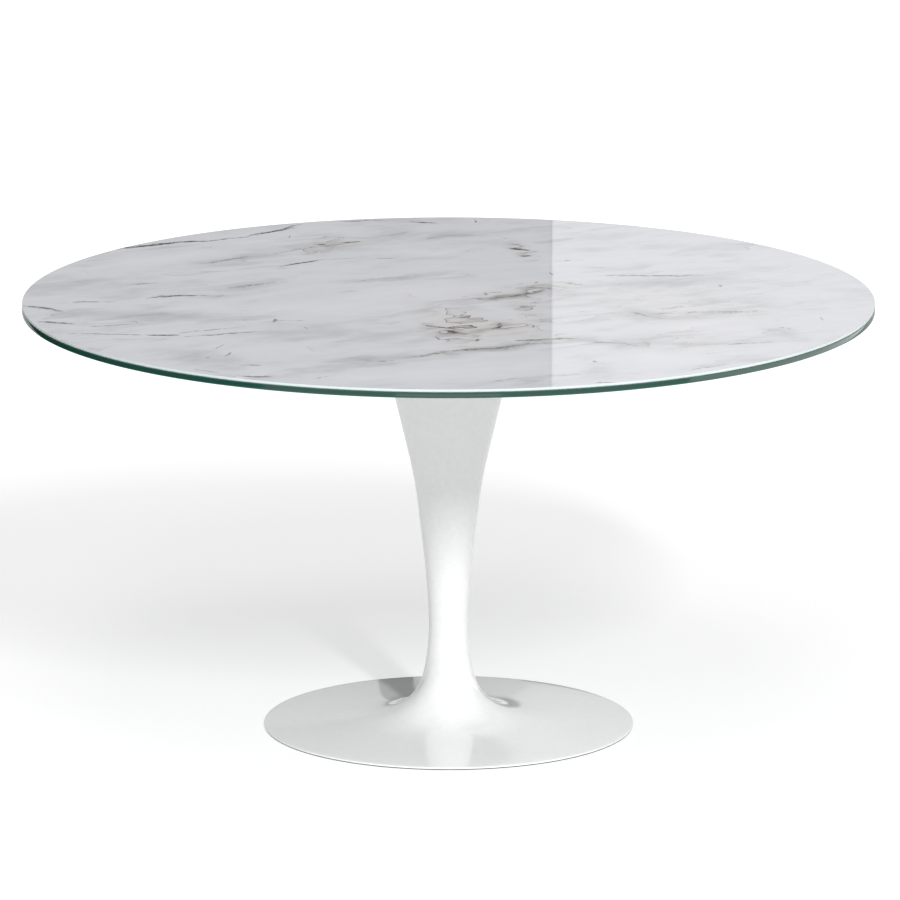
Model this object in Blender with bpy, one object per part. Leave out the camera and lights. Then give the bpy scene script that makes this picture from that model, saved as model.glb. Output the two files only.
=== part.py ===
"""Round pedestal dining table: a marble-look ceramic and glass top on a trumpet-shaped pedestal.

Metres, +Z up. The origin is the centre of the base where it stands on the floor.
The sizes below are the driving dimensions. Everything else is worked out from them.
"""

import math

import bmesh
import bpy
from mathutils import Matrix, Vector

# Overall sizes
TABLE_HEIGHT = 0.770
TOP_DIAMETER = 1.500
BASE_DIAMETER = 0.656

# Gap kept between solids that touch, and clearances between those that don't
FIT_GAP = 0.0003
SHANK_CLEARANCE = 0.0005
NEST_CLEARANCE = 0.0010

# Table top: ceramic slab, bonding film, toughened glass
CERAMIC_THICKNESS = 0.0040
FILM_THICKNESS = 0.0005
FILM_INSET = 0.0010
GLASS_THICKNESS = 0.0100
CERAMIC_ARRIS = 0.0004
GLASS_ARRIS = 0.0008

# Bonded bosses under the glass, with their screws, washers and isolators
BOSS_COUNT = 6
BOSS_CIRCLE = 0.380
BOSS_DIAMETER = 0.050
BOSS_THICKNESS = 0.0060
BOSS_SCREW_DIAMETER = 0.006
BOSS_SCREW_BITE = 0.0045
BOSS_SCREW_HEAD_DIAMETER = 0.0105
BOSS_SCREW_HEAD_HEIGHT = 0.0033
ISOLATOR_DIAMETER = 0.030
ISOLATOR_THICKNESS = 0.0015
PLATE_WASHER_DIAMETER = 0.018
PLATE_WASHER_THICKNESS = 0.0016

# Top plate, which carries the bosses and closes the mouth of the pedestal
PLATE_DIAMETER = 0.460
PLATE_THICKNESS = 0.005
PLATE_EDGE_CHAMFER = 0.0010
PLATE_ACCESS_DIAMETER = 0.040
HEAD_SCREW_COUNT = 4
HEAD_SCREW_CIRCLE = 0.070
HEAD_SCREW_DIAMETER = 0.008
HEAD_SCREW_HEAD_DIAMETER = 0.0150
HEAD_SCREW_LENGTH = 0.016

# Pedestal shell: outer radius and height of each station of the trumpet, and its lean there
SHELL_WALL = 0.0020
RIM_TOP = 0.0045
RIM_ROUND = 0.0015
SKIRT_DIAMETER = 0.400
SKIRT_HEIGHT = 0.0125
FOOT_DIAMETER = 0.1444
FOOT_HEIGHT = 0.0452
ANKLE_DIAMETER = 0.0900
ANKLE_HEIGHT = 0.0923
WAIST_DIAMETER = 0.0700
WAIST_HEIGHT = 0.1820
CALF_DIAMETER = 0.1082
CALF_HEIGHT = 0.3996
KNEE_DIAMETER = 0.1386
KNEE_HEIGHT = 0.4872
MOUTH_DIAMETER = 0.2640
RIM_LEAN = (-1.0, 0.08)
SKIRT_LEAN = (-1.0, 0.07)
FOOT_LEAN = (-1.15, 1.0)
ANKLE_LEAN = (-0.25, 1.0)
WAIST_LEAN = (0.0, 1.0)
CALF_LEAN = (0.115, 1.0)
KNEE_LEAN = (0.234, 1.0)
MOUTH_LEAN = (0.27, 1.0)
GASKET_THICKNESS = 0.0020
GASKET_WIDTH = 0.0060

# Core: tube, head collar and tie rod with a nut and washer at each end
TUBE_DIAMETER = 0.0483
TUBE_WALL = 0.0032
COLLAR_DIAMETER = 0.100
COLLAR_THICKNESS = 0.018
COLLAR_RECESS_DIAMETER = 0.038
COLLAR_RECESS_DEPTH = 0.012
COLLAR_SPIGOT_LENGTH = 0.015
ROD_DIAMETER = 0.016
ROD_END_STANDOUT = 0.0008
NUT_ACROSS_FLATS = 0.024
NUT_THICKNESS = 0.008
WASHER_DIAMETER = 0.030
WASHER_THICKNESS = 0.0025
SPACER_HEIGHT = 0.024

# Ballast casting that nests under the skirt, and what the base stands on
BALLAST_DIAMETER = 0.480
BALLAST_TOP_HEIGHT = 0.060
BALLAST_UNDERCUT_DIAMETER = 0.040
LEDGE_THICKNESS = 0.012
FELT_COUNT = 6
FELT_CIRCLE = 0.400
FELT_DIAMETER = 0.030
FELT_THICKNESS = 0.0017
SEAL_THICKNESS = 0.0012
SEAL_WIDTH = 0.0030
SEAL_SETBACK = 0.0005

# Facets round each kind of turned piece
ROUND_TOP = 96
ROUND_SHELL = 48
ROUND_BOSS = 24
ROUND_SMALL = 16
SMOOTH_ANGLE = math.radians(40)
MERGE_DISTANCE = 0.000001
AXIS = Vector((0.0, 0.0, 0.0))

# Heights worked out from the top down
CERAMIC_BOTTOM = TABLE_HEIGHT - CERAMIC_THICKNESS
FILM_TOP = CERAMIC_BOTTOM - FIT_GAP
GLASS_TOP = FILM_TOP - FILM_THICKNESS - FIT_GAP
GLASS_BOTTOM = GLASS_TOP - GLASS_THICKNESS
BOSS_TOP = GLASS_BOTTOM - FIT_GAP
BOSS_BOTTOM = BOSS_TOP - BOSS_THICKNESS
ISOLATOR_TOP = BOSS_BOTTOM - FIT_GAP
PLATE_TOP = ISOLATOR_TOP - ISOLATOR_THICKNESS - FIT_GAP
PLATE_BOTTOM = PLATE_TOP - PLATE_THICKNESS
GASKET_TOP = PLATE_BOTTOM - FIT_GAP
MOUTH_HEIGHT = GASKET_TOP - GASKET_THICKNESS - FIT_GAP
COLLAR_TOP = PLATE_BOTTOM - FIT_GAP
COLLAR_BOTTOM = COLLAR_TOP - COLLAR_THICKNESS

# Heights worked out from the floor up
BALLAST_BOTTOM = FELT_THICKNESS + FIT_GAP
LOWER_NUT_BOTTOM = BALLAST_BOTTOM + FIT_GAP + ROD_END_STANDOUT
LOWER_NUT_TOP = LOWER_NUT_BOTTOM + NUT_THICKNESS
LOWER_WASHER_BOTTOM = LOWER_NUT_TOP + FIT_GAP
LEDGE_BOTTOM = LOWER_WASHER_BOTTOM + WASHER_THICKNESS + FIT_GAP
TUBE_BOTTOM = LEDGE_BOTTOM + LEDGE_THICKNESS + FIT_GAP
TUBE_TOP = COLLAR_BOTTOM - FIT_GAP
UPPER_WASHER_BOTTOM = COLLAR_TOP - COLLAR_RECESS_DEPTH + FIT_GAP
UPPER_NUT_BOTTOM = UPPER_WASHER_BOTTOM + WASHER_THICKNESS + FIT_GAP
ROD_BOTTOM = LOWER_NUT_BOTTOM - ROD_END_STANDOUT
ROD_TOP = UPPER_NUT_BOTTOM + NUT_THICKNESS + ROD_END_STANDOUT
TUBE_BORE = TUBE_DIAMETER / 2 - TUBE_WALL


def clear_scene():
    """Empties the file of whatever objects it starts with."""
    for old in list(bpy.data.objects):
        bpy.data.objects.remove(old)


def material(name, colour, roughness, metallic=0.0):
    """A plain Principled material in linear RGB."""
    made = bpy.data.materials.new(name)
    made.use_nodes = True
    shader = made.node_tree.nodes["Principled BSDF"]
    shader.inputs["Base Color"].default_value = (*colour, 1.0)
    shader.inputs["Roughness"].default_value = roughness
    shader.inputs["Metallic"].default_value = metallic
    return made


def add_object(name, mesh, finish, place=AXIS):
    """Links one shaded object with one material."""
    made = bpy.data.objects.new(name, mesh)
    bpy.context.scene.collection.objects.link(made)
    made.location = place
    if not mesh.materials:
        mesh.materials.append(finish)
    mesh.shade_smooth()
    mesh.set_sharp_from_angle(angle=SMOOTH_ANGLE)
    return made


def turned_mesh(name, profile, facets, turn=0.0):
    """Spins a profile of (radius, height) points round Z, starting at the angle turn.

    A profile that starts and ends on the axis closes itself there with two flat caps. Any other is
    a closed loop.
    """
    shape = bmesh.new()
    points = [shape.verts.new((radius, 0.0, height)) for radius, height in profile]
    for first, second in zip(points, points[1:]):
        shape.edges.new((first, second))
    if profile[0][0] > 0.0 or profile[-1][0] > 0.0:
        shape.edges.new((points[-1], points[0]))
    bmesh.ops.spin(
        shape,
        geom=shape.verts[:] + shape.edges[:],
        cent=AXIS,
        axis=(0.0, 0.0, 1.0),
        angle=math.tau,
        steps=facets,
        use_merge=True,
    )
    bmesh.ops.remove_doubles(shape, verts=shape.verts[:], dist=MERGE_DISTANCE)
    poles = [point for point in shape.verts if point.co.xy.length < MERGE_DISTANCE]
    bmesh.ops.dissolve_verts(shape, verts=poles)
    bmesh.ops.rotate(shape, verts=shape.verts[:], cent=AXIS, matrix=Matrix.Rotation(turn, 3, "Z"))
    bmesh.ops.recalc_face_normals(shape, faces=shape.faces[:])
    mesh = bpy.data.meshes.new(name)
    shape.to_mesh(mesh)
    shape.free()
    return mesh


def pierced_plate_mesh(name, walls):
    """A flat plate made from its upright walls, those of its rim and of its holes.

    Each wall is (place, profile, facets). The walls' open ends are at the plate's two faces.
    """
    shape = bmesh.new()
    for place, profile, facets in walls:
        points = [shape.verts.new(place + Vector((radius, 0.0, height))) for radius, height in profile]
        edges = [shape.edges.new(pair) for pair in zip(points, points[1:])]
        bmesh.ops.spin(
            shape,
            geom=points + edges,
            cent=place,
            axis=(0.0, 0.0, 1.0),
            angle=math.tau,
            steps=facets,
            use_merge=True,
        )
    bmesh.ops.remove_doubles(shape, verts=shape.verts[:], dist=MERGE_DISTANCE)
    ends = [edge for edge in shape.edges if edge.is_boundary]
    lowest = min(point.co.z for point in shape.verts)
    bottom = [edge for edge in ends if edge.verts[0].co.z - lowest < MERGE_DISTANCE]
    top = [edge for edge in ends if edge not in bottom]
    for face_edges in (bottom, top):
        bmesh.ops.triangle_fill(shape, edges=face_edges, use_beauty=True, normal=(0.0, 0.0, 1.0))
    bmesh.ops.recalc_face_normals(shape, faces=shape.faces[:])
    mesh = bpy.data.meshes.new(name)
    shape.to_mesh(mesh)
    shape.free()
    return mesh


def hexagon_mesh(name, across_flats, low, high):
    """A six-sided prism standing on Z."""
    shape = bmesh.new()
    bmesh.ops.create_cone(
        shape,
        cap_ends=True,
        segments=6,
        radius1=across_flats / math.sqrt(3),
        radius2=across_flats / math.sqrt(3),
        depth=high - low,
        matrix=Matrix.Translation((0.0, 0.0, (low + high) / 2)),
    )
    mesh = bpy.data.meshes.new(name)
    shape.to_mesh(mesh)
    shape.free()
    return mesh


def disc_profile(radius, low, high):
    """A plain disc."""
    return [(0.0, low), (radius, low), (radius, high), (0.0, high)]


def ring_profile(inner, outer, low, high):
    """A plain ring."""
    return [(inner, low), (outer, low), (outer, high), (inner, high)]


def arrised_disc_profile(radius, low, high, arris):
    """A disc whose two rims are ground back by a small arris."""
    return [
        (0.0, low),
        (radius - arris, low),
        (radius, low + arris),
        (radius, high - arris),
        (radius - arris, high),
        (0.0, high),
    ]


def around(count, circle_diameter, start=0.0):
    """Evenly spaced places on a circle about Z."""
    for index in range(count):
        angle = start + math.tau * index / count
        yield index + 1, Vector((math.cos(angle), math.sin(angle), 0.0)) * circle_diameter / 2


def head_screw_places():
    """The places of the screws that hold the top plate to the head collar."""
    return list(around(HEAD_SCREW_COUNT, HEAD_SCREW_CIRCLE, math.pi / HEAD_SCREW_COUNT))


def cut(target, cutter_mesh, places=(AXIS,)):
    """Subtracts a mesh from an object at each place, keeping the cutters as one wire guide."""
    shape = bmesh.new()
    for place in places:
        already = len(shape.verts)
        shape.from_mesh(cutter_mesh)
        bmesh.ops.translate(shape, vec=place, verts=shape.verts[already:])
    mesh = bpy.data.meshes.new(f"{target.name}_{cutter_mesh.name}")
    shape.to_mesh(mesh)
    shape.free()
    guide = bpy.data.objects.new(f"cut_{mesh.name}", mesh)
    bpy.context.scene.collection.objects.link(guide)
    guide.hide_render = True
    guide.display_type = "WIRE"
    boolean = target.modifiers.new(guide.name, "BOOLEAN")
    boolean.operation = "DIFFERENCE"
    boolean.object = guide


def curve_between(start, start_lean, end, end_lean, steps):
    """Points after start along a cubic that leaves and arrives in the given directions."""
    start, end = Vector(start), Vector(end)
    reach = (end - start).length
    leave = Vector(start_lean).normalized() * reach
    arrive = Vector(end_lean).normalized() * reach
    for step in range(1, steps + 1):
        t = step / steps
        t2, t3 = t * t, t * t * t
        point = (
            start * (2 * t3 - 3 * t2 + 1)
            + leave * (t3 - 2 * t2 + t)
            + end * (3 * t2 - 2 * t3)
            + arrive * (t3 - t2)
        )
        yield point.x, point.y


def trumpet_outline():
    """The pedestal's outer line from the top of its rim up to its mouth, as (radius, height)."""
    stations = [
        (BASE_DIAMETER / 2 - RIM_ROUND, RIM_TOP, RIM_LEAN, 0),
        (SKIRT_DIAMETER / 2, SKIRT_HEIGHT, SKIRT_LEAN, 1),
        (FOOT_DIAMETER / 2, FOOT_HEIGHT, FOOT_LEAN, 6),
        (ANKLE_DIAMETER / 2, ANKLE_HEIGHT, ANKLE_LEAN, 3),
        (WAIST_DIAMETER / 2, WAIST_HEIGHT, WAIST_LEAN, 3),
        (CALF_DIAMETER / 2, CALF_HEIGHT, CALF_LEAN, 3),
        (KNEE_DIAMETER / 2, KNEE_HEIGHT, KNEE_LEAN, 2),
        (MOUTH_DIAMETER / 2, MOUTH_HEIGHT, MOUTH_LEAN, 2),
    ]
    outline = [stations[0][:2]]
    for before, after in zip(stations, stations[1:]):
        outline += curve_between(before[:2], before[2], after[:2], after[2], after[3])
    return outline


def moved_inwards(outline, distance):
    """The outline offset towards the hollow of the trumpet."""
    moved = []
    for index, point in enumerate(outline):
        before = Vector(outline[max(index - 1, 0)])
        after = Vector(outline[min(index + 1, len(outline) - 1)])
        along = (after - before).normalized()
        # Going up the outline the hollow is on the left hand, which is towards the axis.
        moved.append((point[0] - along.y * distance, point[1] + along.x * distance))
    return moved


def crossing(first, second, axis, value):
    """The point between two points where one coordinate takes a value."""
    share = (value - first[axis]) / (second[axis] - first[axis])
    return tuple(a + (b - a) * share for a, b in zip(first, second))


def trimmed(line, axis, lowest, highest):
    """The stretch of a line, along which one coordinate only rises or falls, between two values."""
    kept = []
    for first, second in zip(line, line[1:]):
        for limit in sorted((lowest, highest), key=lambda value: abs(value - first[axis])):
            if min(first[axis], second[axis]) < limit < max(first[axis], second[axis]):
                kept.append(crossing(first, second, axis, limit))
        if lowest <= second[axis] <= highest:
            kept.append(second)
    if lowest <= line[0][axis] <= highest:
        kept.insert(0, line[0])
    return kept


def make_top(finishes):
    """Ceramic slab, bonding film and glass plate."""
    radius = TOP_DIAMETER / 2
    slab = arrised_disc_profile(radius, CERAMIC_BOTTOM, TABLE_HEIGHT, CERAMIC_ARRIS)
    film = disc_profile(radius - FILM_INSET, FILM_TOP - FILM_THICKNESS, FILM_TOP)
    glass = arrised_disc_profile(radius, GLASS_BOTTOM, GLASS_TOP, GLASS_ARRIS)
    for name, profile in (("ceramic_slab", slab), ("bonding_film", film), ("glass_plate", glass)):
        add_object(name, turned_mesh(name, profile, ROUND_TOP), finishes[name])


def make_boss_fixings(finishes):
    """Bonded bosses, each with its isolator, washer and screw."""
    screw_radius = BOSS_SCREW_DIAMETER / 2
    hole_radius = screw_radius + SHANK_CLEARANCE
    screw_top = BOSS_BOTTOM + BOSS_SCREW_BITE
    washer_top = PLATE_BOTTOM - FIT_GAP
    head_top = washer_top - PLATE_WASHER_THICKNESS - FIT_GAP
    head_bottom = head_top - BOSS_SCREW_HEAD_HEIGHT
    head_radius = BOSS_SCREW_HEAD_DIAMETER / 2
    head_round = BOSS_SCREW_HEAD_HEIGHT / 3
    socket_depth = BOSS_SCREW_HEAD_HEIGHT / 2
    hole_top = screw_top + SHANK_CLEARANCE

    boss = turned_mesh(
        "boss",
        [
            (0.0, hole_top),
            (screw_radius + FIT_GAP, hole_top),
            (screw_radius + FIT_GAP, BOSS_BOTTOM),
            (BOSS_DIAMETER / 2, BOSS_BOTTOM),
            (BOSS_DIAMETER / 2, BOSS_TOP),
            (0.0, BOSS_TOP),
        ],
        ROUND_BOSS,
    )
    isolator_low = ISOLATOR_TOP - ISOLATOR_THICKNESS
    isolator = turned_mesh(
        "isolator",
        ring_profile(hole_radius, ISOLATOR_DIAMETER / 2, isolator_low, ISOLATOR_TOP),
        ROUND_SMALL,
    )
    washer_low = washer_top - PLATE_WASHER_THICKNESS
    washer = turned_mesh(
        "plate_washer",
        ring_profile(hole_radius, PLATE_WASHER_DIAMETER / 2, washer_low, washer_top),
        ROUND_SMALL,
    )
    screw = turned_mesh(
        "boss_screw",
        [
            (0.0, head_bottom),
            (head_radius - head_round, head_bottom),
            (head_radius, head_bottom + head_round),
            (head_radius, head_top),
            (screw_radius, head_top),
            (screw_radius, screw_top),
            (0.0, screw_top),
        ],
        ROUND_SMALL,
    )
    socket = hexagon_mesh(
        "boss_screw_socket",
        BOSS_SCREW_DIAMETER * 2 / 3,
        head_bottom - socket_depth,
        head_bottom + socket_depth,
    )
    for number, place in around(BOSS_COUNT, BOSS_CIRCLE):
        add_object(f"glass_boss_{number}", boss, finishes["stainless"], place)
        add_object(f"boss_isolator_{number}", isolator, finishes["rubber"], place)
        add_object(f"plate_washer_{number}", washer, finishes["zinc"], place)
        fitted = add_object(f"boss_screw_{number}", screw, finishes["zinc"], place)
        cut(fitted, socket, [place])


def make_top_plate(finishes):
    """The steel plate between the pedestal and the bosses, with all its holes."""
    radius, chamfer = PLATE_DIAMETER / 2, PLATE_EDGE_CHAMFER
    rim = [
        (radius - chamfer, PLATE_BOTTOM),
        (radius, PLATE_BOTTOM + chamfer),
        (radius, PLATE_TOP - chamfer),
        (radius - chamfer, PLATE_TOP),
    ]
    access = [(PLATE_ACCESS_DIAMETER / 2, PLATE_BOTTOM), (PLATE_ACCESS_DIAMETER / 2, PLATE_TOP)]
    boss_hole = BOSS_SCREW_DIAMETER / 2 + SHANK_CLEARANCE
    boss_wall = [(boss_hole, PLATE_BOTTOM), (boss_hole, PLATE_TOP)]
    shank = HEAD_SCREW_DIAMETER / 2 + SHANK_CLEARANCE
    sink = HEAD_SCREW_HEAD_DIAMETER / 2 + SHANK_CLEARANCE
    sink_wall = [(shank, PLATE_BOTTOM), (shank, PLATE_TOP - (sink - shank)), (sink, PLATE_TOP)]
    walls = [(AXIS, rim, ROUND_SHELL), (AXIS, access, ROUND_BOSS)]
    walls += [(place, boss_wall, ROUND_SMALL) for _, place in around(BOSS_COUNT, BOSS_CIRCLE)]
    walls += [(place, sink_wall, ROUND_SMALL) for _, place in head_screw_places()]
    add_object("top_plate", pierced_plate_mesh("top_plate", walls), finishes["lacquer"])


def make_core(finishes):
    """Tube, head collar, tie rod and their fasteners inside the pedestal."""
    tube = ring_profile(TUBE_BORE, TUBE_DIAMETER / 2, TUBE_BOTTOM, TUBE_TOP)
    add_object("core_tube", turned_mesh("core_tube", tube, ROUND_BOSS), finishes["steel"])

    rod_hole = ROD_DIAMETER / 2 + SHANK_CLEARANCE
    spigot = TUBE_BORE - SHANK_CLEARANCE
    spigot_bottom = COLLAR_BOTTOM - COLLAR_SPIGOT_LENGTH
    recess_floor = COLLAR_TOP - COLLAR_RECESS_DEPTH
    collar_profile = [
        (rod_hole, spigot_bottom),
        (spigot, spigot_bottom),
        (spigot, COLLAR_BOTTOM),
        (COLLAR_DIAMETER / 2, COLLAR_BOTTOM),
        (COLLAR_DIAMETER / 2, COLLAR_TOP),
        (COLLAR_RECESS_DIAMETER / 2, COLLAR_TOP),
        (COLLAR_RECESS_DIAMETER / 2, recess_floor),
        (rod_hole, recess_floor),
    ]
    # Turned half a facet, so that no facet's edge runs through the middle of a tapped hole.
    collar_mesh = turned_mesh("head_collar", collar_profile, ROUND_BOSS, math.pi / ROUND_BOSS)
    collar = add_object("head_collar", collar_mesh, finishes["steel"])

    screw_radius = HEAD_SCREW_DIAMETER / 2
    head_radius = HEAD_SCREW_HEAD_DIAMETER / 2
    head_top = PLATE_TOP - FIT_GAP
    cone_bottom = head_top - (head_radius - screw_radius)
    screw_bottom = head_top - HEAD_SCREW_LENGTH
    tapped_bottom = screw_bottom - SHANK_CLEARANCE
    tapped = turned_mesh(
        "tapped_hole",
        disc_profile(screw_radius + FIT_GAP, tapped_bottom, COLLAR_TOP + HEAD_SCREW_LENGTH),
        ROUND_SMALL,
    )
    screw = turned_mesh(
        "head_screw",
        [
            (0.0, screw_bottom),
            (screw_radius, screw_bottom),
            (screw_radius, cone_bottom),
            (head_radius, head_top),
            (0.0, head_top),
        ],
        ROUND_SMALL,
    )
    socket_depth = (head_top - cone_bottom) / 2
    socket = hexagon_mesh(
        "head_screw_socket",
        HEAD_SCREW_DIAMETER * 5 / 8,
        head_top - socket_depth,
        head_top + socket_depth,
    )
    cut(collar, tapped, [place for _, place in head_screw_places()])
    for number, place in head_screw_places():
        fitted = add_object(f"head_screw_{number}", screw, finishes["zinc"], place)
        cut(fitted, socket, [place])

    rod_profile = arrised_disc_profile(ROD_DIAMETER / 2, ROD_BOTTOM, ROD_TOP, ROD_END_STANDOUT)
    add_object("tie_rod", turned_mesh("tie_rod", rod_profile, ROUND_SMALL), finishes["zinc"])
    ends = (
        ("lower", LOWER_WASHER_BOTTOM, LOWER_NUT_BOTTOM),
        ("upper", UPPER_WASHER_BOTTOM, UPPER_NUT_BOTTOM),
    )
    for end, washer_bottom, nut_bottom in ends:
        washer_name, nut_name = f"{end}_tie_washer", f"{end}_tie_nut"
        washer_top = washer_bottom + WASHER_THICKNESS
        washer = ring_profile(rod_hole, WASHER_DIAMETER / 2, washer_bottom, washer_top)
        add_object(washer_name, turned_mesh(washer_name, washer, ROUND_BOSS), finishes["zinc"])
        nut_top = nut_bottom + NUT_THICKNESS
        nut_mesh = hexagon_mesh(nut_name, NUT_ACROSS_FLATS, nut_bottom, nut_top)
        nut = add_object(nut_name, nut_mesh, finishes["zinc"])
        bore = disc_profile(ROD_DIAMETER / 2 + FIT_GAP, nut_bottom - FIT_GAP, nut_top + FIT_GAP)
        cut(nut, turned_mesh(f"{nut_name}_bore", bore, ROUND_SMALL))


def make_pedestal(finishes):
    """Trumpet shell, its mouth gasket, waist spacer and floor seal, and the ballast under it."""
    outline = trumpet_outline()
    hollow = moved_inwards(outline, SHELL_WALL)
    rim_radius = BASE_DIAMETER / 2
    lip_bottom = SEAL_THICKNESS + FIT_GAP
    lip_inner = rim_radius - SHELL_WALL
    corner = (rim_radius - RIM_ROUND * (1 - math.sqrt(0.5)), RIM_TOP - RIM_ROUND * (1 - math.sqrt(0.5)))
    inner = trimmed(trimmed(hollow, 0, 0.0, lip_inner), 1, lip_bottom, MOUTH_HEIGHT)
    shell = (
        [(rim_radius, lip_bottom), (rim_radius, RIM_TOP - RIM_ROUND), corner]
        + outline
        + inner[::-1]
        + [(lip_inner, lip_bottom)]
    )
    shell_mesh = turned_mesh("pedestal_shell", shell, ROUND_SHELL)
    add_object("pedestal_shell", shell_mesh, finishes["lacquer"])

    mouth = MOUTH_DIAMETER / 2
    gasket = ring_profile(mouth - GASKET_WIDTH, mouth, GASKET_TOP - GASKET_THICKNESS, GASKET_TOP)
    add_object("mouth_gasket", turned_mesh("mouth_gasket", gasket, ROUND_SHELL), finishes["rubber"])

    spacer_inner = TUBE_DIAMETER / 2 + FIT_GAP
    spacer_outer = WAIST_DIAMETER / 2 - SHELL_WALL - NEST_CLEARANCE
    spacer_low = WAIST_HEIGHT - SPACER_HEIGHT / 2
    spacer = ring_profile(spacer_inner, spacer_outer, spacer_low, spacer_low + SPACER_HEIGHT)
    add_object("waist_spacer", turned_mesh("waist_spacer", spacer, ROUND_BOSS), finishes["nylon"])

    seal_outer = rim_radius - SEAL_SETBACK
    seal = ring_profile(seal_outer - SEAL_WIDTH, seal_outer, 0.0, SEAL_THICKNESS)
    add_object("rim_seal", turned_mesh("rim_seal", seal, ROUND_SHELL), finishes["rubber"])

    nested = moved_inwards(outline, SHELL_WALL + NEST_CLEARANCE)
    below_top = trimmed(nested, 1, BALLAST_BOTTOM, BALLAST_TOP_HEIGHT)
    upper = trimmed(below_top, 0, 0.0, BALLAST_DIAMETER / 2)
    bore = TUBE_DIAMETER / 2 + FIT_GAP
    rod_hole = ROD_DIAMETER / 2 + SHANK_CLEARANCE
    recess = BALLAST_UNDERCUT_DIAMETER / 2
    ledge_top = LEDGE_BOTTOM + LEDGE_THICKNESS
    ballast = (
        [(recess, BALLAST_BOTTOM), (BALLAST_DIAMETER / 2, BALLAST_BOTTOM)]
        + upper
        + [
            (bore, BALLAST_TOP_HEIGHT),
            (bore, ledge_top),
            (rod_hole, ledge_top),
            (rod_hole, LEDGE_BOTTOM),
            (recess, LEDGE_BOTTOM),
        ]
    )
    ballast_mesh = turned_mesh("ballast_casting", ballast, ROUND_SHELL)
    add_object("ballast_casting", ballast_mesh, finishes["iron"])

    felt = turned_mesh("felt_pad", disc_profile(FELT_DIAMETER / 2, 0.0, FELT_THICKNESS), ROUND_SMALL)
    for number, place in around(FELT_COUNT, FELT_CIRCLE):
        add_object(f"felt_pad_{number}", felt, finishes["felt"], place)


def main():
    """Builds the whole table at rest."""
    clear_scene()
    finishes = {
        "ceramic_slab": material("marble_ceramic", (0.66, 0.66, 0.69), 0.08),
        "bonding_film": material("bonding_film", (0.80, 0.80, 0.78), 0.60),
        "glass_plate": material("green_float_glass", (0.07, 0.15, 0.13), 0.03),
        "lacquer": material("white_lacquer", (0.86, 0.86, 0.86), 0.15),
        "stainless": material("stainless_steel", (0.60, 0.60, 0.60), 0.30, 1.0),
        "zinc": material("zinc_plated_steel", (0.62, 0.63, 0.65), 0.35, 1.0),
        "steel": material("primed_steel", (0.25, 0.25, 0.26), 0.55),
        "iron": material("cast_iron", (0.06, 0.06, 0.065), 0.75, 1.0),
        "rubber": material("black_rubber", (0.03, 0.03, 0.03), 0.80),
        "nylon": material("natural_nylon", (0.75, 0.74, 0.68), 0.45),
        "felt": material("grey_felt", (0.22, 0.22, 0.22), 0.95),
    }
    make_top(finishes)
    make_boss_fixings(finishes)
    make_top_plate(finishes)
    make_core(finishes)
    make_pedestal(finishes)


main()
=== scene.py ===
"""Looks of the round pedestal table: a marble-effect ceramic and glass top on a white trumpet base.

Metres, +Z up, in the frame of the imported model. Every piece stands for the CAD node of the same name.
"""

import logging
import math
from dataclasses import dataclass, field, replace
from enum import Enum
from functools import cache, partial

import bmesh
import bpy
from bmesh.types import BMesh, BMVert
from bpy.types import Material, Mesh, Node, NodeSocket, NodeTree, Object
from mathutils import Matrix, Vector
from mathutils.geometry import interpolate_bezier


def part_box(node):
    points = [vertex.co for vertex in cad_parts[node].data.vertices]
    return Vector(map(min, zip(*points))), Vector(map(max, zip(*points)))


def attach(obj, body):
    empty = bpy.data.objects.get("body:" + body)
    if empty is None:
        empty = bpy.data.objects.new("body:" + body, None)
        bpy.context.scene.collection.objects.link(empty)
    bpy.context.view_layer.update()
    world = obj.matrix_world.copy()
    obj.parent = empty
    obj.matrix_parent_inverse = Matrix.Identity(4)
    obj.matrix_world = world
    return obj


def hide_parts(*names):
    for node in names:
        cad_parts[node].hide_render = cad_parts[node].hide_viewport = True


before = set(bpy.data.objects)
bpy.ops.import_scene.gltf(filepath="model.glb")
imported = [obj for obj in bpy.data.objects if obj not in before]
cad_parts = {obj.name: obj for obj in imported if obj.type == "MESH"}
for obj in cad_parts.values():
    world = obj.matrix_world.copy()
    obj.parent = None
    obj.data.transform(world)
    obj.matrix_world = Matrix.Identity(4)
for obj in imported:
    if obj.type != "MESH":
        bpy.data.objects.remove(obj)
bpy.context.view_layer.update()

LOG = logging.getLogger("round_pedestal_table")
BODY = "root"
# Numbers in the names of the pieces that come in sets.
BOSSES, HEAD_SCREWS, PADS = range(1, 7), range(1, 5), range(1, 7)

AXIS = Vector((0.0, 0.0, 0.0))
UP = (0.0, 0.0, 1.0)
MILLIMETRE = 0.001
MERGE_DISTANCE = 0.000001
CENTRED_WITHIN = 0.0001
SHARP_ANGLE = math.radians(38)
LEVEL_FACE = 0.999999
# A hexagon socket's round wall reaches no further than this share of its half width.
SOCKET_REACH = 1.06
# A drilled socket's cone starts at this share of its half width.
SOCKET_CONE = 0.92
THREAD_DEPTH = 0.55

# Facets round a turned piece. Pieces with a hexagon need a multiple of twelve.
ROUND_TOP = 288
ROUND_SHELL = 192
ROUND_PLATE = 144
ROUND_BOSS = 72
ROUND_SMALL = 36

WHITE, BLACK = "#ffffff", "#000000"
# Settings that several nodes share. A Math node without one adds.
SOFTLY = {"interpolation_type": "SMOOTHSTEP"}
TIMES = {"operation": "MULTIPLY"}
Inputs = dict[int | str, object] | tuple
# Corners of a turned shape: radius, height, and optionally how far it is rounded and in how many steps.
Profile = list[tuple[float, ...] | Vector]
EASE_STEPS = 4


# Shapes


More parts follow.
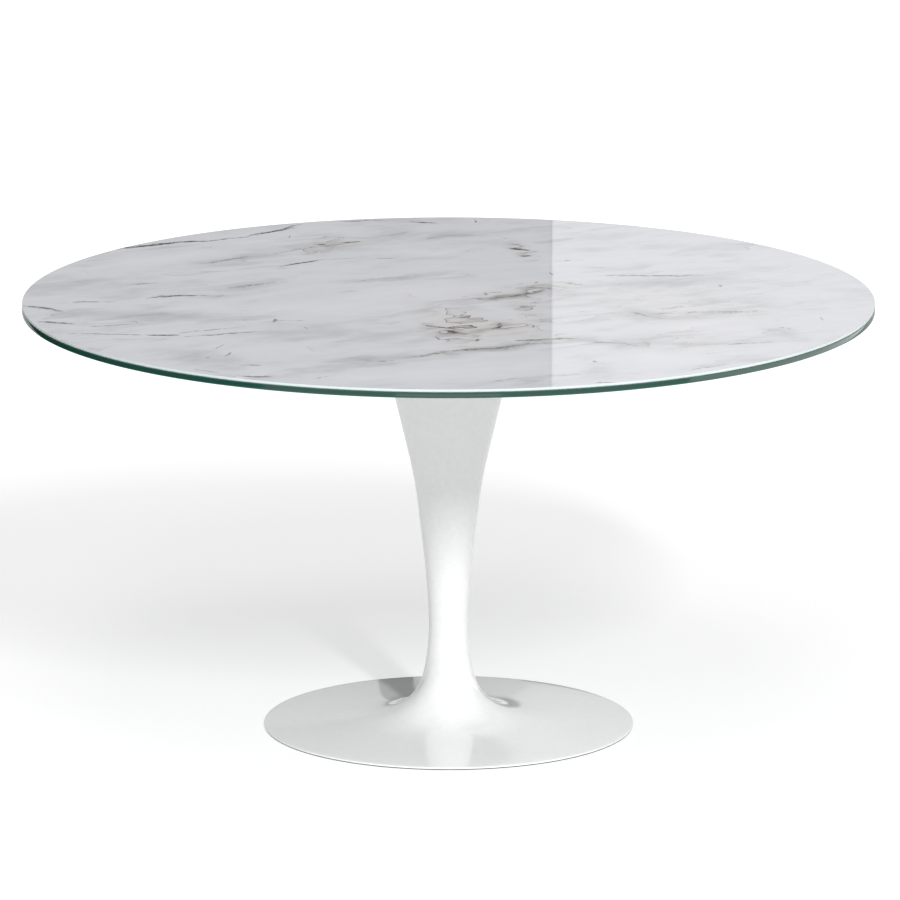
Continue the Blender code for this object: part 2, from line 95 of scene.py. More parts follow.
@dataclass(frozen=True)
class Extent:
    """Where a CAD node lies: its own axis, its outer radius and its two heights."""

    axis: Vector
    radius: float
    low: float
    high: float

    @classmethod
    def of(cls, node: str) -> "Extent":
        """Reads a node's box.

        Args:
            node: The name of a CAD node that is round about a vertical axis.

        Returns:
            The node's extent.
        """
        low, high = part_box(node)
        middle = (low + high) / 2
        axis = AXIS if middle.xy.length < CENTRED_WITHIN else Vector((middle.x, middle.y, 0.0))
        return cls(axis, (high.x - low.x) / 2, low.z, high.z)


def measured(node: str) -> Extent:
    """A dataclass field that holds a CAD node's extent."""
    return field(default_factory=lambda: Extent.of(node))


def new_wire(shape: BMesh, corners: Profile, closed: bool) -> list:
    """Draws a profile in the XZ plane and rounds its eased corners.

    Args:
        shape: The bmesh that receives the profile.
        corners: The profile.
        closed: Whether the last corner is joined to the first.

    Returns:
        The profile's points and edges, ready to be spun.
    """
    old_points, old_edges = set(shape.verts), set(shape.edges)
    points = [shape.verts.new((corner[0], 0.0, corner[1])) for corner in corners]
    for first, second in zip(points, points[1:]):
        shape.edges.new((first, second))
    if closed:
        shape.edges.new((points[-1], points[0]))
    settings = {"offset_type": "OFFSET", "affect": "VERTICES", "profile": 0.5, "material": -1}
    for point, (_, _, *easing) in zip(points, corners):
        if easing:
            steps = easing[1] if len(easing) > 1 else EASE_STEPS
            bmesh.ops.bevel(shape, geom=[point], offset=easing[0], segments=steps, **settings)
    wire = [point for point in shape.verts if point not in old_points]
    return wire + [edge for edge in shape.edges if edge not in old_edges]


def spun_walls(walls: list[tuple[Vector, Profile, int]], closed: bool = False) -> BMesh:
    """Spins profiles a full turn about their own upright axes.

    Args:
        walls: Each wall's axis, profile and number of facets.
        closed: Whether a profile's last corner is joined to its first.

    Returns:
        A new bmesh of the walls.
    """
    shape = bmesh.new()
    turn = {"axis": UP, "angle": math.tau, "use_merge": True}
    for place, corners, facets in walls:
        wire = new_wire(shape, corners, closed)
        points = [item for item in wire if isinstance(item, BMVert)]
        bmesh.ops.translate(shape, vec=place, verts=points)
        bmesh.ops.spin(shape, geom=wire, cent=place, steps=facets, **turn)
    bmesh.ops.remove_doubles(shape, verts=shape.verts[:], dist=MERGE_DISTANCE)
    return shape


def turned_shape(corners: Profile, facets: int) -> BMesh:
    """Turns a profile round Z. One that starts and ends on the axis closes there, and any other is a loop."""
    on_axis = corners[0][0] == 0.0 and corners[-1][0] == 0.0
    return spun_walls([(AXIS, corners, facets)], closed=not on_axis)


def fill_level(shape: BMesh, height: float) -> None:
    """Fills the level face between the walls that end open at one height.

    Args:
        shape: The bmesh of the walls.
        height: The height of the face.
    """
    ends = [edge for edge in shape.edges if edge.is_boundary]
    level = [edge for edge in ends if abs(edge.verts[0].co.z - height) < MERGE_DISTANCE * 10]
    bmesh.ops.triangle_fill(shape, edges=level, use_beauty=True, normal=UP)


def hexagonal(shape: BMesh, across_flats: float, low: float, high: float, inside: bool) -> None:
    """Gives a turned shape six flats between two heights.

    Args:
        shape: The turned shape.
        across_flats: The distance between two opposite flats.
        low: The lowest height that is changed.
        high: The highest height that is changed.
        inside: True for a socket, whose round wall is drawn out to the flats, and False for a nut, whose
            corners are cut back to them.
    """
    sixth = math.tau / 6
    for point in shape.verts:
        radius = point.co.xy.length
        if not low - MERGE_DISTANCE <= point.co.z <= high + MERGE_DISTANCE or radius < MERGE_DISTANCE:
            continue
        bearing = math.atan2(point.co.y, point.co.x) % sixth - sixth / 2
        reach = across_flats / 2 / math.cos(bearing)
        if inside and radius < across_flats / 2 * SOCKET_REACH:
            point.co.xy *= 1 / math.cos(bearing)
        if not inside and radius > reach:
            point.co.xy *= reach / radius


def threaded_corners(radius: float, low: float, high: float, pitch: float) -> Profile:
    """Thread grooves along a shank, from its lower end to its upper one.

    Args:
        radius: The outer radius of the thread.
        low: The height where the grooves begin.
        high: The height where they end.
        pitch: The distance from one crest to the next.

    Returns:
        Corners that run up the shank.
    """
    count = max(1, round((high - low) / pitch))
    rise, root = (high - low) / count, radius - pitch * THREAD_DEPTH
    corners = []
    for turn in range(count):
        for reach, share in ((radius, 0.0), (radius, 0.15), (root, 0.50), (root, 0.62)):
            corners.append((reach, low + turn * rise + rise * share))
    return corners + [(radius, high)]


def finished_mesh(shape: BMesh, name: str, place: Vector) -> Mesh:
    """Closes, orients and shades a bmesh, then puts it in its place.

    Args:
        shape: The bmesh, which is freed.
        name: The mesh's name.
        place: How far the shape is moved.

    Returns:
        The mesh, smooth except on level faces and at sharp edges.
    """
    bmesh.ops.remove_doubles(shape, verts=shape.verts[:], dist=MERGE_DISTANCE)
    near_axis = [point for point in shape.verts if point.co.xy.length < MERGE_DISTANCE]
    poles = [point for point in near_axis if len(point.link_faces) > 4]
    bmesh.ops.dissolve_verts(shape, verts=poles)
    bmesh.ops.recalc_face_normals(shape, faces=shape.faces[:])
    bmesh.ops.translate(shape, vec=place, verts=shape.verts[:])
    mesh = bpy.data.meshes.new(name)
    shape.to_mesh(mesh)
    shape.free()
    mesh.shade_smooth()
    mesh.set_sharp_from_angle(angle=SHARP_ANGLE)
    for polygon in mesh.polygons:
        polygon.use_smooth = abs(polygon.normal.z) < LEVEL_FACE
    return mesh


# Finishes


def linear(hex_colour: str) -> tuple[float, float, float, float]:
    """Turns an sRGB colour into a linear one.

    Args:
        hex_colour: The colour, written as #rrggbb.

    Returns:
        Red, green, blue and an alpha of 1.
    """
    channels = [int(hex_colour[place : place + 2], 16) / 255 for place in (1, 3, 5)]
    curved = [c / 12.92 if c <= 0.04045 else ((c + 0.055) / 1.055) ** 2.4 for c in channels]
    return (*curved, 1.0)


def plug_in(tree: NodeTree, node: Node, inputs: Inputs) -> None:
    """Gives a node's sockets their values or links.

    Args:
        tree: The node tree.
        node: The node.
        inputs: Values or other nodes' outputs, in the order of the sockets, or by their name or place.
    """
    for key, value in inputs.items() if isinstance(inputs, dict) else enumerate(inputs):
        if isinstance(value, NodeSocket):
            tree.links.new(value, node.inputs[key])
        else:
            node.inputs[key].default_value = value


def add_node(
    tree: NodeTree,
    kind: str,
    inputs: Inputs = (),
    out: int | str = 0,
    stops: tuple[tuple[float, str], ...] = (),
    **settings: object,
) -> NodeSocket:
    """Adds a node with its settings and links.

    Args:
        tree: The node tree.
        kind: The node's type, without Blender's ShaderNode before it.
        inputs: What its sockets get, as plug_in takes it.
        out: The output that is wanted, by name or place.
        stops: Positions and colours for a colour ramp.
        settings: Properties of the node.

    Returns:
        The wanted output.
    """
    node = tree.nodes.new(f"ShaderNode{kind}")
    for name, value in settings.items():
        setattr(node, name, value)
    plug_in(tree, node, inputs)
    for place, (position, colour) in enumerate(stops):
        elements = node.color_ramp.elements
        element = elements[place] if place < 2 else elements.new(position)
        element.position = position
        element.color = linear(colour)
    return node.outputs[out]


def new_material(name: str) -> tuple[Material, NodeTree, Node]:
    """Starts a material with a Principled shader.

    Args:
        name: The material's name.

    Returns:
        The material, its node tree and its shader node.
    """
    material = bpy.data.materials.new(name)
    material.use_nodes = True
    return material, material.node_tree, material.node_tree.nodes["Principled BSDF"]


class Grain(Enum):
    """The pattern that working or moulding leaves on a surface."""

    MOTTLED = "mottled"
    SANDY = "sandy"
    FIBROUS = "fibrous"
    RINGED = "ringed"


@dataclass(frozen=True)
class Finish:
    """A finish's name, and the record's material slot that it stands for."""

    name: str
    slot: str

    def material(self) -> Material:
        """Builds the finish's shader, which each kind of finish does in its own way."""
        raise NotImplementedError


@dataclass(frozen=True)
class WorkedFinish(Finish):
    """A finish of nearly one colour, whose making shows as a grain and as broader, fainter patches.

    Together they drive the colour between dark and light and the roughness between smooth and rough. The
    grain alone drives a relief of that height.
    """

    dark: str
    light: str
    grain: Grain
    grain_mm: float
    relief_mm: float
    smooth: float
    rough: float
    metallic: float = 0.0
    ior: float = 1.5
    sheen: float = 0.0
    patch_mm: float = 60.0
    patch_share: float = 0.4
    centre: tuple[float, float, float] = (0.0, 0.0, 0.0)

    @cache
    def material(self) -> Material:
        """Builds the finish's shader, once for all its pieces.

        Returns:
            The material.
        """
        material, tree, shader = new_material(self.name)
        add = partial(add_node, tree)
        centred = add("Mapping", (add("TexCoord", out="Object"), self.centre), vector_type="TEXTURE")
        grain = self.grain_nodes(tree, centred)
        patches = add("TexNoise", {"Vector": centred, "Scale": 1000 / self.patch_mm, "Detail": 2.0}, "Fac")
        mixed = add("Math", (grain, 1.0 - self.patch_share), **TIMES)
        mixed = add("Math", (patches, self.patch_share, mixed), operation="MULTIPLY_ADD")
        bump = {"Height": grain, "Strength": 1.0, "Distance": self.relief_mm * MILLIMETRE}
        dressing = {
            "Base Color": add("ValToRGB", (mixed,), stops=((0.28, self.dark), (0.72, self.light))),
            "Roughness": add("MapRange", (mixed, 0.25, 0.75, self.smooth, self.rough)),
            "Normal": add("Bump", bump),
            "Metallic": self.metallic,
            "IOR": self.ior,
            "Sheen Weight": self.sheen,
        }
        plug_in(tree, shader, dressing)
        return material

    def grain_nodes(self, tree: NodeTree, where: NodeSocket) -> NodeSocket:
        """Adds the grain's own pattern.

        Args:
            tree: The node tree.
            where: The coordinates, in metres.

        Returns:
            The grain from 0 to 1.
        """
        scale = 1000 / self.grain_mm
        noise, rings = {"Scale": scale, "Detail": 3.0}, {"wave_type": "RINGS", "rings_direction": "Z"}
        pits = {"Scale": scale, "Smoothness": 0.6}
        # The rings repeat every tau / 20 at scale 1.
        waves = {"Scale": scale * math.tau / 20, "Distortion": 0.6, "Detail Scale": 4.0}
        patterns = {
            Grain.MOTTLED: ("TexNoise", noise, "Fac", {}),
            Grain.FIBROUS: ("TexNoise", {**noise, "Detail": 4.0, "Distortion": 3.0}, "Fac", {}),
            Grain.SANDY: ("TexVoronoi", pits, "Distance", {"feature": "SMOOTH_F1"}),
            Grain.RINGED: ("TexWave", waves, "Fac", rings),
        }
        kind, inputs, out, settings = patterns[self.grain]
        return add_node(tree, kind, {"Vector": where, **inputs}, out, **settings)


@dataclass(frozen=True)
class Streak:
    """A soft stroke of colour from one point of the table top to another, in millimetres."""

    x1: float
    y1: float
    x2: float
    y2: float
    width: float
    strength: float

    def falloff(self, tree: NodeTree, where: NodeSocket) -> NodeSocket:
        """Adds the stroke's own brightness, 1 along its middle and 0 outside it.

        Args:
            tree: The node tree.
            where: Coordinates in metres, level with the stroke.

        Returns:
            The falloff.
        """
        start = Vector((self.x1, self.y1, 0.0)) * MILLIMETRE
        end = Vector((self.x2, self.y2, 0.0)) * MILLIMETRE
        along, half_width = end - start, self.width / 2 * MILLIMETRE
        middle, heading = (start + end) / 2, (0.0, 0.0, math.atan2(along.y, along.x))
        reach = (along.length / 2 + half_width, half_width, 1.0)
        local = add_node(tree, "Mapping", (where, middle, heading, reach), vector_type="TEXTURE")
        return add_node(tree, "TexGradient", (local,), "Fac", gradient_type="SPHERICAL")


@dataclass(frozen=True)
class MarbleCeramic(Finish):
    """Porcelain slab printed as a light grey marble and polished.

    It gives the eye broad cloudy bands that run from front left to back right, thin broken veins that
    darken to near black in spots, and one warm patch of netted veins right of the middle.
    """

    bands: tuple[Streak, ...]
    veins: tuple[Streak, ...]
    nets: tuple[Streak, ...]
    grain_heading: float = math.radians(27)
    ripple_relief: float = 0.00002

    @cache
    def material(self) -> Material:
        """Builds the slab's shader.

        Returns:
            The material.
        """
        material, tree, shader = new_material(self.name)
        add = partial(add_node, tree)
        level = add("VectorMath", (add("TexCoord", out="Object"), (1.0, 1.0, 0.0)), **TIMES)
        swayed = self.warped(tree, level, 130.0, 0.050, 1.0)
        torn = self.warped(tree, swayed, 70.0, 0.034, 4.0)
        crinkled = self.warped(tree, swayed, 24.0, 0.014, 5.0)

        cloud = self.grained(tree, torn, (340.0, 120.0), 5.0, 0.55)
        mottle = self.grained(tree, crinkled, (75.0, 40.0), 4.0, 0.60)
        drift = self.grained(tree, swayed, (520.0, 130.0), 2.0, 0.50)
        folds = self.grained(tree, crinkled, (120.0, 76.0), 2.0, 0.50)
        # Contour steps, which rise slowly from 0 and drop sharply at 1.
        drift, folds = (add("Math", (relief, 5.0), **TIMES) for relief in (drift, folds))
        drift, folds = (add("Math", (steps,), operation="FRACT") for steps in (drift, folds))
        speckle, spread, ripple = (
            add("TexNoise", {"Vector": at, "Scale": 1000 / size, "Detail": fine, "Roughness": rough}, "Fac")
            for at, size, fine, rough in (
                (level, 14.0, 5.0, 0.65),
                (swayed, 150.0, 2.0, 0.5),
                (level, 90.0, 1.0, 0.5),
            )
        )

        clouded = add("MapRange", (cloud, 0.25, 0.75, -0.16, 0.16), **SOFTLY)
        tone = self.painted(tree, torn, self.bands, clouded)
        veins = self.painted(tree, crinkled, self.veins, 0.0)
        nets = self.painted(tree, swayed, self.nets, 0.0)
        broken = add("MapRange", (speckle, 0.36, 0.62, 0.40, 1.35), **SOFTLY)
        present = add("MapRange", (spread, 0.42, 0.60, 0.0, 1.0), **SOFTLY)
        shade, thread, ledge, cracks = (
            add("Math", (add("MapRange", (steps, *stretch), **SOFTLY), where), **TIMES)
            for steps, stretch, where in (
                (drift, (0.30, 1.0, 0.0, 0.16), present),
                (drift, (0.93, 0.985, 0.0, 0.15), present),
                (folds, (0.30, 1.0, -0.20, 0.62), nets),
                (folds, (0.88, 0.97, 0.0, 0.85), nets),
            )
        )
        veins, cracks = (add("Math", (line, broken), **TIMES) for line in (veins, cracks))
        tone = add("Math", (tone, add("MapRange", (mottle, 0.25, 0.75, 0.20, 0.42), **SOFTLY)))
        tone = add("Math", (tone, add("Math", (shade, ledge))))
        veins = add("Math", (veins, add("Math", (cracks, thread))))

        greys = ((0.0, "#e5e5ea"), (0.35, "#dcdde2"), (0.60, "#cacbcf"), (0.80, "#babbbf"), (1.0, "#a0a1a5"))
        stone = add("ValToRGB", (tone,), stops=greys)
        for share, colour, blend in (
            (add("MapRange", (veins, 0.05, 0.36, 0.0, 0.85), **SOFTLY), "#8b8a8b", "MIX"),
            (add("Math", (nets, 0.90), **TIMES), "#f1eae0", "MULTIPLY"),
            (add("MapRange", (veins, 0.38, 0.90, 0.0, 1.0), **SOFTLY), "#36373b", "MIX"),
        ):
            laid = {0: share, 6: stone, 7: linear(colour)}
            stone = add("Mix", laid, 2, data_type="RGBA", blend_type=blend, clamp_factor=True)
        dressing = {
            "Base Color": stone,
            "Roughness": add("MapRange", (veins, 0.0, 0.8, 0.030, 0.060), **SOFTLY),
            "Normal": add("Bump", {"Height": ripple, "Strength": 1.0, "Distance": self.ripple_relief}),
            "IOR": 1.5,
        }
        plug_in(tree, shader, dressing)
        return material

    def warped(
        self, tree: NodeTree, where: NodeSocket, size_mm: float, reach: float, detail: float
    ) -> NodeSocket:
        """Pushes coordinates about, so that straight strokes wander.

        Args:
            tree: The node tree.
            where: The coordinates.
            size_mm: How far apart the wanderings are.
            reach: How far a point may be pushed, in metres.
            detail: How many finer wanderings are added.

        Returns:
            The pushed coordinates.
        """
        push = {"Vector": where, "Scale": 1000 / size_mm, "Detail": detail}
        push = add_node(tree, "TexNoise", push, "Color")
        push = add_node(tree, "VectorMath", (push, (0.5, 0.5, 0.5)), operation="SUBTRACT")
        return add_node(tree, "VectorMath", (push, (reach, reach, 0.0), where), operation="MULTIPLY_ADD")

    def grained(
        self, tree: NodeTree, where: NodeSocket, size_mm: tuple[float, float], detail: float, roughness: float
    ) -> NodeSocket:
        """Adds clouds that lie along the stone's bands.

        Args:
            tree: The node tree.
            where: The coordinates.
            size_mm: A cloud's length along the bands and its width across them.
            detail: How many finer clouds are added.
            roughness: How strong the finer ones are.

        Returns:
            The clouds, from 0 to 1.
        """
        heading = (0.0, 0.0, self.grain_heading)
        size = (size_mm[0] * MILLIMETRE, size_mm[1] * MILLIMETRE, 1.0)
        along = add_node(tree, "Mapping", (where, AXIS, heading, size), vector_type="TEXTURE")
        clouds = {"Vector": along, "Scale": 1.0, "Detail": detail, "Roughness": roughness}
        return add_node(tree, "TexNoise", clouds, "Fac")

    def painted(
        self, tree: NodeTree, where: NodeSocket, streaks: tuple[Streak, ...], ground: NodeSocket | float
    ) -> NodeSocket:
        """Adds strokes one on another.

        Args:
            tree: The node tree.
            where: The coordinates.
            streaks: The strokes.
            ground: What lies under them.

        Returns:
            The sum.
        """
        for streak in streaks:
            laid = (streak.falloff(tree, where), streak.strength, ground)
            ground = add_node(tree, "Math", laid, operation="MULTIPLY_ADD")
        return ground


@dataclass(frozen=True)
class GlassEdge(Finish):
    """Polished edge of 10 mm float glass.

    Iron in the glass makes it dark green seen edge-on. The edge is darkest in the middle of its height. The
    paler line at each ground arris is a painted highlight, where the arris catches the light.
    """

    low: float
    high: float
    core: str = "#1c4038"
    # Painted highlight: the paler green laid along the top and bottom arris.
    arris: str = "#4f7a70"
    drift: str = "#24483f"

    @cache
    def material(self) -> Material:
        """Builds the edge's shader.

        Returns:
            The material.
        """
        material, tree, shader = new_material(self.name)
        add = partial(add_node, tree)
        where = add("TexCoord", out="Object")
        share = add("MapRange", (add("SeparateXYZ", (where,), "Z"), self.low, self.high))
        drift = add("TexNoise", {"Vector": where, "Scale": 6.0, "Detail": 2.0}, "Fac")
        # Pale at both ends of the height: painted highlights along the arrises, with the glass's own dark
        # green between them.
        lower = ((0.0, self.arris), (0.10, "#2b554b"), (0.30, self.core))
        upper = ((0.80, self.core), (0.95, "#2f5b51"), (1.0, self.arris))
        green = {0: drift, 6: add("ValToRGB", (share,), stops=lower + upper), 7: linear(self.drift)}
        dressing = {
            "Base Color": add("Mix", green, 2, data_type="RGBA"),
            "Roughness": add("MapRange", (drift, 0.0, 1.0, 0.04, 0.10)),
            "IOR": 1.52,
        }
        plug_in(tree, shader, dressing)
        return material


# White porcelain body, cut and ground: matt white with a fine speck.
CERAMIC_BODY = WorkedFinish(
    "ground_porcelain_body", "marble_ceramic", "#c6d4d1", "#d4e2df", Grain.MOTTLED, 1.2, 0.01, 0.30, 0.42
)
# Adhesive film between slab and glass, seen as a milky line.
MILKY_FILM = WorkedFinish(
    "milky_bonding_film", "bonding_film", "#d2d3cf", "#e2e2de", Grain.MOTTLED, 3.0, 0.01, 0.50, 0.65
)
# Float glass over the white film: pale grey green and mirror smooth, seen from below.
GLASS_FACE = WorkedFinish(
    "backed_float_glass", "green_glass", "#b3bcb8", "#c5cdc9", Grain.MOTTLED, 180.0, 0.0, 0.02, 0.05, ior=1.52
)
# Sprayed polyester lacquer, polished: clean white with the faintest orange peel.
GLOSS_LACQUER = WorkedFinish(
    "white_gloss_lacquer", "white_lacquer", "#eaeaea", "#f1f1f1", Grain.MOTTLED, 9.0, 0.0015, 0.07, 0.11,
    patch_mm=140.0
)
# Stainless steel faced on a lathe: fine rings that spread the highlights.
TURNED_STAINLESS = WorkedFinish(
    "turned_stainless_steel", "stainless_steel", "#b9babb", "#d6d7d8", Grain.RINGED, 0.5, 0.004, 0.20, 0.36,
    metallic=1.0,
)
# Bright zinc plate: bluish silver with a slightly cloudy bloom.
ZINC_PLATE = WorkedFinish(
    "bright_zinc_plate", "zinc_plated_steel", "#aeb3b9", "#d2d6da", Grain.MOTTLED, 2.5, 0.003, 0.22, 0.42,
    metallic=1.0,
)
# Grey primer sprayed on mill steel: dull and slightly grainy.
STEEL_PRIMER = WorkedFinish(
    "grey_steel_primer", "primed_steel", "#606264", "#76787a", Grain.MOTTLED, 0.9, 0.02, 0.50, 0.68
)
# Iron cast in sand and dipped in dark paint: coarse pits under a dull skin.
SAND_CAST_IRON = WorkedFinish(
    "sand_cast_iron", "cast_iron", "#232425", "#3d3e40", Grain.SANDY, 1.6, 0.18, 0.55, 0.80
)
# Moulded rubber: near black, matt, with a grey bloom.
MOULDED_RUBBER = WorkedFinish(
    "moulded_black_rubber", "black_rubber", "#131313", "#232323", Grain.MOTTLED, 0.8, 0.012, 0.62, 0.85
)
# Turned natural nylon: warm white with a waxy shine.
WAXY_NYLON = WorkedFinish(
    "natural_nylon_rod", "natural_nylon", "#ddd8c8", "#ebe7da", Grain.RINGED, 0.6, 0.006, 0.34, 0.50
)
# Pressed wool felt: grey fibres, no shine, a soft halo.
PRESSED_FELT = WorkedFinish(
    "pressed_grey_felt", "grey_felt", "#5f5f61", "#8b8b8d", Grain.FIBROUS, 0.9, 0.12, 0.90, 1.0, sheen=0.35
)

# The marble's strokes, in millimetres: x and y of one end and of the other, width, and then strength.
# Broad bands: positive ones grey the stone, negative ones leave it pale.
MARBLE_BANDS = (
    (-660, -120, -360, -150, 130, 0.41), (-500, -50, -280, 130, 90, 0.25), (-420, 90, -290, 160, 70, 0.39),
    (-200, 130, 0, 240, 60, 0.28), (-460, 310, -240, 470, 60, 0.34), (-250, 440, -100, 560, 120, 0.28),
    (-100, 620, 100, 500, 260, 0.25), (-570, 440, -460, 490, 40, 0.32), (-400, -240, -50, -360, 220, 0.30),
    (-480, -440, -380, -540, 160, 0.30), (-240, -600, -50, -460, 140, 0.28),
    (-60, -300, 60, -240, 200, 0.34), (-60, -490, 180, -370, 50, 0.39), (50, -20, 200, 120, 90, 0.34),
    (220, 130, 480, 160, 130, 0.30), (280, -40, 370, -180, 120, 0.32), (200, -310, 300, -400, 100, 0.26),
    (340, -390, 540, -360, 50, 0.22), (550, -200, 600, -360, 90, 0.20), (220, -460, 260, -660, 70, 0.21),
    (360, -630, 480, -520, 60, 0.22), (440, 20, 520, -20, 100, 0.15), (200, 300, 420, 310, 100, 0.14),
    (300, 550, 520, 360, 160, 0.11), (-720, 100, -580, 170, 100, 0.21), (-460, -90, -50, -60, 140, -0.46),
    (-200, -20, 80, 150, 150, -0.39), (-620, 300, -420, 430, 110, -0.32), (-420, 480, -300, 550, 60, -0.25),
    (-140, 420, 60, 430, 60, -0.28), (-120, -640, 160, -560, 200, -0.39),
    (-340, -440, -160, -380, 120, -0.28), (-640, -400, -500, -380, 120, -0.28),
    (0, -220, 60, -210, 50, -0.53), (70, -40, 100, -100, 70, -0.34), (400, -200, 500, -260, 120, -0.26),
    (300, -500, 400, -500, 120, -0.24), (140, 620, 180, 300, 90, -0.18), (580, -20, 660, 20, 100, -0.20),
)
# Veins: thin dark strokes, strongest where the real print is nearly black.
MARBLE_VEINS = (
    (-631, 444, -469, 531, 22, 1.08), (-536, 506, -414, 536, 14, 0.97), (-456, 520, -334, 595, 12, 0.49),
    (-372, 581, -278, 649, 17, 1.03), (-310, 620, -270, 690, 11, 0.59), (-290, 590, -290, 540, 5, 0.34),
    (-231, 710, -69, 724, 9, 0.54), (-76, 703, -29, 697, 16, 0.86), (45, 725, 45, 690, 8, 0.59),
    (-469, 309, -321, 396, 16, 0.38), (-350, 385, -250, 470, 9, 0.38), (-276, 451, -154, 519, 12, 0.54),
    (-238, 500, -217, 500, 16, 0.97), (-188, 513, -167, 527, 16, 0.97), (-258, 554, -123, 561, 9, 0.30),
    (-305, 297, -224, 356, 14, 1.10), (-244, 345, -136, 383, 9, 0.32), (-162, 376, -68, 366, 9, 0.43),
    (-418, 91, -282, 159, 22, 0.28), (-218, 125, -2, 240, 10, 0.32), (-579, 115, -511, 153, 12, 0.45),
    (-534, 18, -426, 36, 17, 1.03), (-660, 270, -630, 235, 8, 0.32), (-755, -54, -680, -101, 22, 0.76),
    (-709, -47, -561, 7, 13, 0.37), (-713, -192, -652, -213, 22, 1.08), (-631, -233, -544, -209, 10, 0.65),
    (-703, -286, -447, -304, 10, 0.54), (-506, -303, -459, -297, 16, 0.97),
    (-489, -295, -341, -218, 14, 0.39), (-473, -326, -297, -264, 13, 0.65),
    (-310, -165, -303, -205, 11, 0.77), (-387, -176, -333, -171, 9, 0.43),
    (-314, -183, -206, -197, 10, 0.28), (-252, -245, -246, -262, 6, 0.42),
    (-380, -380, -410, -440, 5, 0.51), (-372, -450, -382, -490, 7, 0.51), (-405, -480, -418, -500, 5, 0.47),
    (-440, -580, -390, -628, 7, 0.51), (-352, -639, -298, -647, 16, 0.65),
    (-360, -555, -279, -553, 10, 0.35), (-235, -680, -185, -620, 6, 0.44),
    (-119, -532, -91, -516, 10, 0.49), (-79, -501, 29, -431, 22, 0.43), (-31, -451, 206, -364, 16, 0.49),
    (-57, -213, 37, -265, 16, 0.92), (-5, -262, 40, -300, 25, 0.51), (85, -200, 75, -262, 11, 0.85),
    (-28, -318, -18, -345, 8, 0.64), (45, -330, 45, -365, 8, 0.59), (145, -225, 148, -245, 7, 0.55),
    (122, -357, 183, -343, 17, 0.97), (135, -130, 145, -180, 7, 0.29), (52, -14, 193, 96, 24, 0.78),
    (148, 130, 152, 150, 7, 0.51), (105, 455, 150, 438, 20, 1.10), (125, 395, 155, 400, 18, 0.95),
    (100, 495, 135, 490, 10, 0.60), (150, 430, 185, 425, 8, 0.50), (100, 565, 112, 545, 7, 0.51),
    (178, 240, 182, 215, 6, 0.59), (179, 352, 261, 350, 16, 0.29), (243, 292, 297, 278, 17, 0.22),
    (249, 206, 492, 206, 19, 0.53), (195, 153, 235, 127, 29, 0.29), (480, 128, 486, 100, 9, 0.38),
    (530, 50, 515, -30, 7, 0.15), (306, -108, 374, -162, 16, 0.42), (346, -135, 454, -99, 14, 0.28),
    (395, -104, 585, -102, 16, 0.34), (650, -160, 654, -200, 10, 0.42), (565, -225, 600, -275, 14, 0.29),
    (444, -376, 566, -369, 14, 0.34), (173, -333, 227, -333, 22, 0.65), (226, -369, 334, -376, 14, 0.41),
    (305, -380, 330, -412, 13, 0.38), (246, -505, 250, -545, 9, 0.35), (146, -635, 254, -635, 16, 0.20),
    (390, -612, 480, -535, 12, 0.35), (250, -689, 290, -696, 14, 0.41), (48, -708, 142, -647, 13, 0.30),
    (411, -461, 479, -451, 13, 0.21),
)
# Patches where netted, slightly brown veins show.
MARBLE_NETS = (
    (-10, -100, 30, -360, 160, 0.95), (60, -200, 160, -320, 140, 0.80), (30, -20, 190, 130, 120, 0.70),
    (-80, -480, 160, -370, 80, 0.45), (120, 490, 150, 380, 80, 0.60), (-270, 440, -150, 550, 120, 0.55),
    (130, 60, 160, -240, 80, 0.45), (260, 0, 540, -100, 460, 0.20), (220, -340, 560, -360, 240, 0.20),
)


# Sub-assemblies


def add_piece(name: str, shape: BMesh, *finishes: Finish) -> Mesh:
    """Adds a shape as the piece that stands for the CAD node of its name, on that node's axis.

    Args:
        name: The CAD node's name.
        shape: The piece's bmesh, about Z, which is freed.
        finishes: Its finishes in the order of its material slots.

    Returns:
        The piece's mesh.
    """
    mesh = finished_mesh(shape, name, Extent.of(name).axis)
    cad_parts[name].name = f"cad_{name}"
    piece = bpy.data.objects.new(name, mesh)
    bpy.context.scene.collection.objects.link(piece)
    for finish in finishes:
        mesh.materials.append(finish.material())
    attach(piece, BODY)
    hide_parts(name)
    LOG.info("%s: %d faces", name, len(mesh.polygons))
    return mesh


def add_disc(name: str, facets: int, ease: float, steps: int, *finishes: Finish) -> Mesh:
    """Adds a plain disc with both of its rims eased, as large as its CAD node.

    Args:
        name: The CAD node's name.
        facets: How many facets go round.
        ease: How far a rim is rounded.
        steps: How many steps round it.
        finishes: The disc's finishes.

    Returns:
        The disc's mesh.
    """
    disc = Extent.of(name)
    rims = [(disc.radius, height, ease, steps) for height in (disc.low, disc.high)]
    corners = [(0.0, disc.low), *rims, (0.0, disc.high)]
    return add_piece(name, turned_shape(corners, facets), *finishes)


def add_ring(name: str, facets: int, inner: float, ease: float, finish: Finish) -> None:
    """Adds a plain ring with all four corners eased, as large as its CAD node.

    Args:
        name: The CAD node's name.
        facets: How many facets go round.
        inner: The hole's radius.
        ease: How far a corner is rounded.
        finish: The ring's finish.
    """
    ring = Extent.of(name)
    foot = [(radius, ring.low, ease) for radius in (inner, ring.radius)]
    head = [(radius, ring.high, ease) for radius in (ring.radius, inner)]
    add_piece(name, turned_shape(foot + head, facets), finish)


